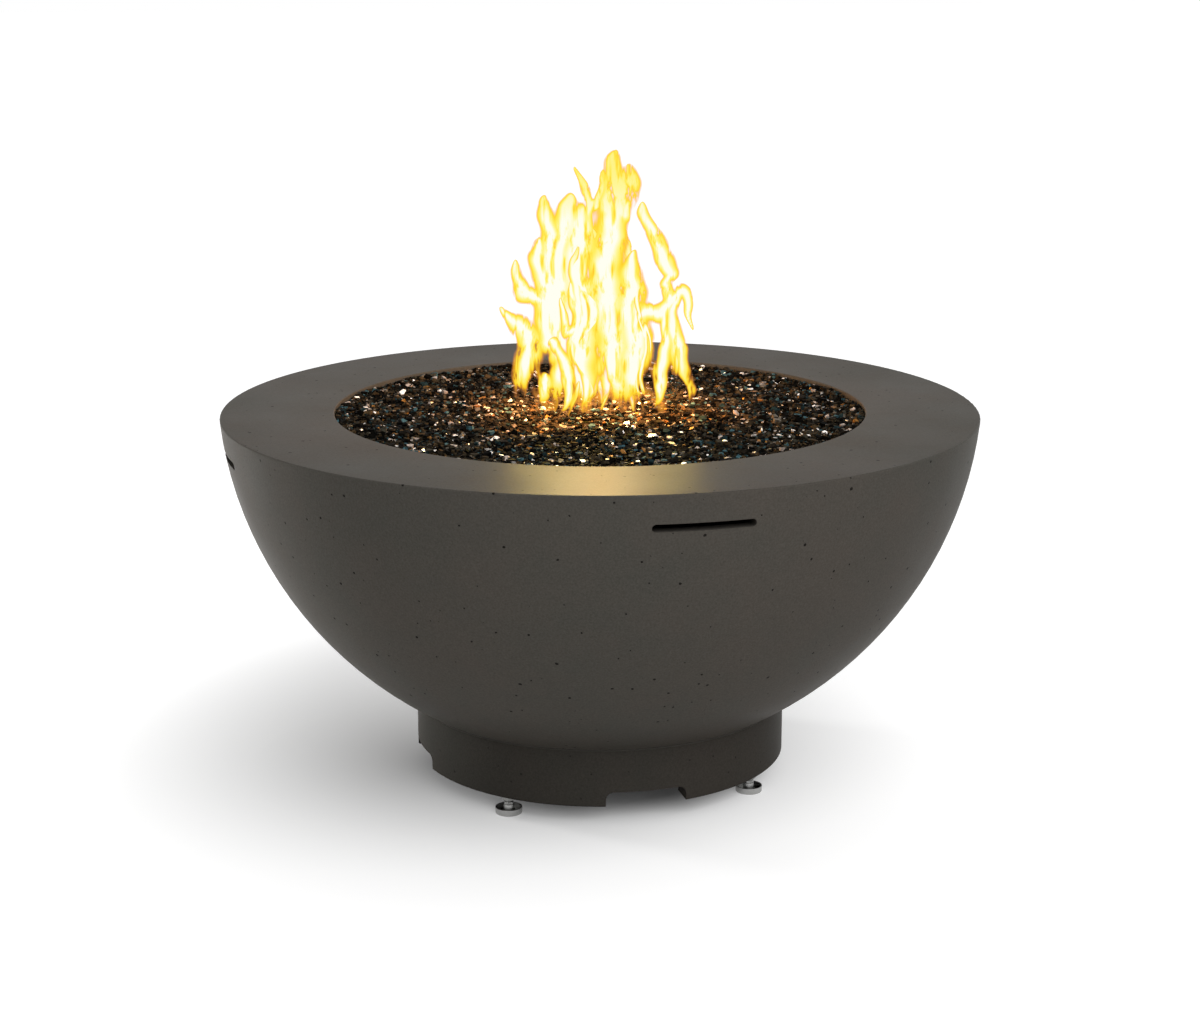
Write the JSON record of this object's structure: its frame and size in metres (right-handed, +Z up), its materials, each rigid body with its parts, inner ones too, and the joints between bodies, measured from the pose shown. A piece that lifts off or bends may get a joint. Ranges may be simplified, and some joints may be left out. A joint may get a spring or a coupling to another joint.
{
  "type": "propane fire bowl",
  "caption": "Free-standing concrete fire bowl on a notched ring base with levelling feet, a drop-in ring burner under crushed glass and an inner shut-off valve.",
  "frame": {"origin": "on the floor under the bowl's axis", "axes": "+Z up along the bowl's axis, +Y towards the gas inlet; slots and notches on X and Y"},
  "size_m": [1.2188, 1.2184, 0.605],
  "materials": {
    "cast_concrete": "sealed cast concrete",
    "bedding_mastic": "matte",
    "zinc_steel": "zinc plated",
    "polished_steel": "polished",
    "stainless": "mill",
    "black_pipe": "black steel pipe",
    "crushed_glass": "black reflective",
    "brass": "machined",
    "hose_steel": "corrugated stainless",
    "seat_polymer": "matte",
    "chrome_ball": "polished",
    "vinyl_grip": "dipped vinyl"
  },
  "bodies": {
    "bowl": {"bowl_shell": "cast_concrete", "base_ring": "cast_concrete", "bedding_ring": "bedding_mastic", "foot_inserts": "zinc_steel", "jam_nuts": "zinc_steel", "burner_pan": "stainless", "fire_glass": "crushed_glass", "ring_burner": "stainless", "burner_hub": "stainless", "burner_nipple": "black_pipe", "pan_lock_nuts": "zinc_steel", "air_mixer": "brass", "gas_orifice": "brass", "flex_hose": "hose_steel", "hose_nuts": "brass", "valve_body": "brass", "valve_seats": "seat_polymer", "gland_nut": "brass", "inlet_fitting": "brass", "inlet_lock_nut": "brass", "valve_bracket": "zinc_steel", "bracket_screws": "zinc_steel"},
    "shutter": {"air_shutter": "brass", "shutter_screw": "brass"},
    "lever": {"valve_lever": "zinc_steel", "lever_grip": "vinyl_grip", "lever_nut": "zinc_steel", "valve_stem": "chrome_ball", "valve_ball": "chrome_ball"},
    "pad_1": {"foot_pad_1": "polished_steel"},
    "stud_1": {"foot_stud_1": "polished_steel"},
    "pad_2": {"foot_pad_2": "polished_steel"},
    "stud_2": {"foot_stud_2": "polished_steel"},
    "pad_3": {"foot_pad_3": "polished_steel"},
    "stud_3": {"foot_stud_3": "polished_steel"},
    "pad_4": {"foot_pad_4": "polished_steel"},
    "stud_4": {"foot_stud_4": "polished_steel"}
  },
  "joints": [
    {"name": "shutoff_turn", "type": "hinge", "parent": "bowl", "child": "lever", "pos_m": [0, 0.22192, 0.0633], "axis": [0, 0, 1], "range_deg": [0, 90]},
    {"name": "shutter_turn", "type": "hinge", "parent": "bowl", "child": "shutter", "pos_m": [0, 0, 0.443], "axis": [0, 0, 1], "range_deg": [0, 45]},
    {"name": "foot_1_travel", "type": "slide", "parent": "bowl", "child": "pad_1", "axis": [0, 0, 1], "range_m": [-0.018, 0.0025]},
    {"name": "foot_1_turn", "type": "hinge", "parent": "pad_1", "child": "stud_1", "pos_m": [-0.1987, 0.1987, 0], "axis": [0, 0, 1], "range_deg": [-4322, 602]},
    {"name": "foot_2_travel", "type": "slide", "parent": "bowl", "child": "pad_2", "axis": [0, 0, 1], "range_m": [-0.018, 0.0025]},
    {"name": "foot_2_turn", "type": "hinge", "parent": "pad_2", "child": "stud_2", "pos_m": [-0.1987, -0.1987, 0], "axis": [0, 0, 1], "range_deg": [-4322, 602]},
    {"name": "foot_3_travel", "type": "slide", "parent": "bowl", "child": "pad_3", "axis": [0, 0, 1], "range_m": [-0.018, 0.0025]},
    {"name": "foot_3_turn", "type": "hinge", "parent": "pad_3", "child": "stud_3", "pos_m": [0.1987, -0.1987, 0], "axis": [0, 0, 1], "range_deg": [-4322, 602]},
    {"name": "foot_4_travel", "type": "slide", "parent": "bowl", "child": "pad_4", "axis": [0, 0, 1], "range_m": [-0.018, 0.0025]},
    {"name": "foot_4_turn", "type": "hinge", "parent": "pad_4", "child": "stud_4", "pos_m": [0.1987, 0.1987, 0], "axis": [0, 0, 1], "range_deg": [-4322, 602]}
  ],
  "couplings": [
    {"joint": "foot_1_turn", "follows": "foot_1_travel", "rad_per_m": 4188.8},
    {"joint": "foot_2_turn", "follows": "foot_2_travel", "rad_per_m": 4188.8},
    {"joint": "foot_3_turn", "follows": "foot_3_travel", "rad_per_m": 4188.8},
    {"joint": "foot_4_turn", "follows": "foot_4_travel", "rad_per_m": 4188.8}
  ]
}
